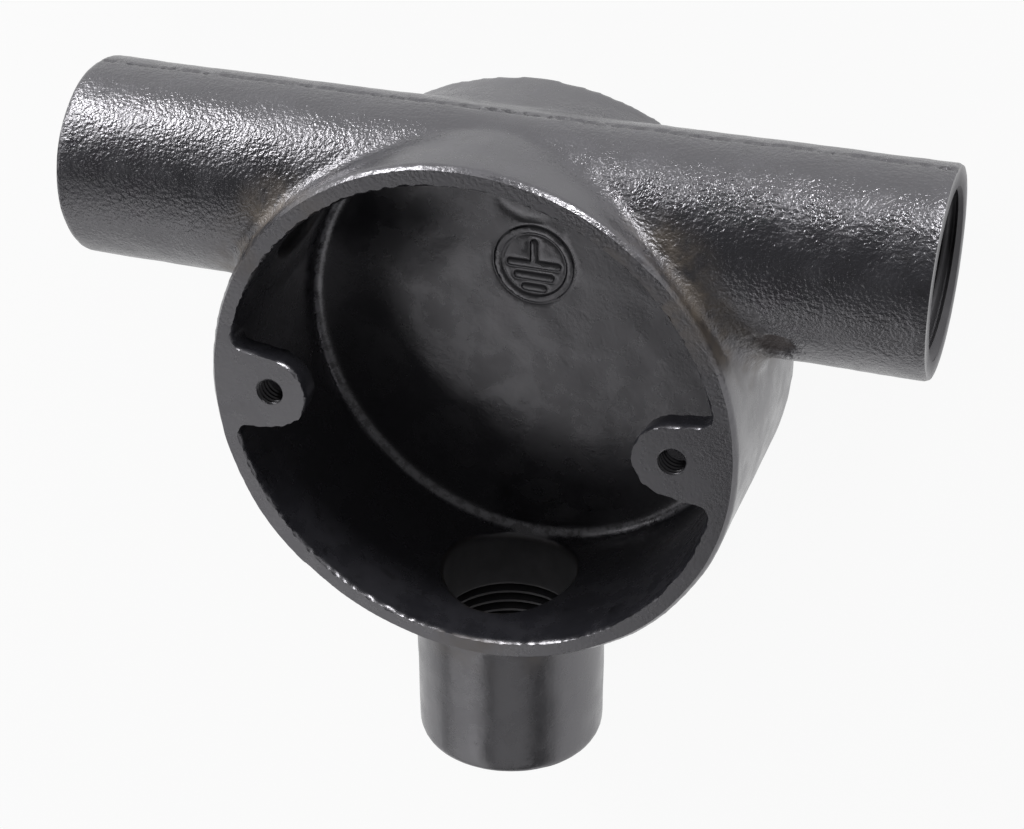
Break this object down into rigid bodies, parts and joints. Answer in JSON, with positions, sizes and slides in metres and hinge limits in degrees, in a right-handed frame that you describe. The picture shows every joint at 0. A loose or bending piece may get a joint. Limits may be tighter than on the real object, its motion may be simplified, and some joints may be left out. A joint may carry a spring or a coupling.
{
  "type": "conduit body",
  "caption": "Round cast-iron conduit box with two in-line threaded spouts set to one side, one threaded spout opposite, and two lugs for a lid's screws.",
  "frame": {"origin": "centre of the flat back face, on the axis of the round box", "axes": "+Z out of the box's open face, +X along the two in-line spouts, +Y from the box's centre towards the in-line spouts"},
  "size_m": [0.106, 0.0878, 0.0286],
  "materials": {
    "black_enamelled_iron": "gloss black enamel over sand-cast iron, slightly lumpy, with warm brown tints in the creases"
  },
  "bodies": {
    "root": {"conduit_body": "black_enamelled_iron"}
  },
  "joints": []
}
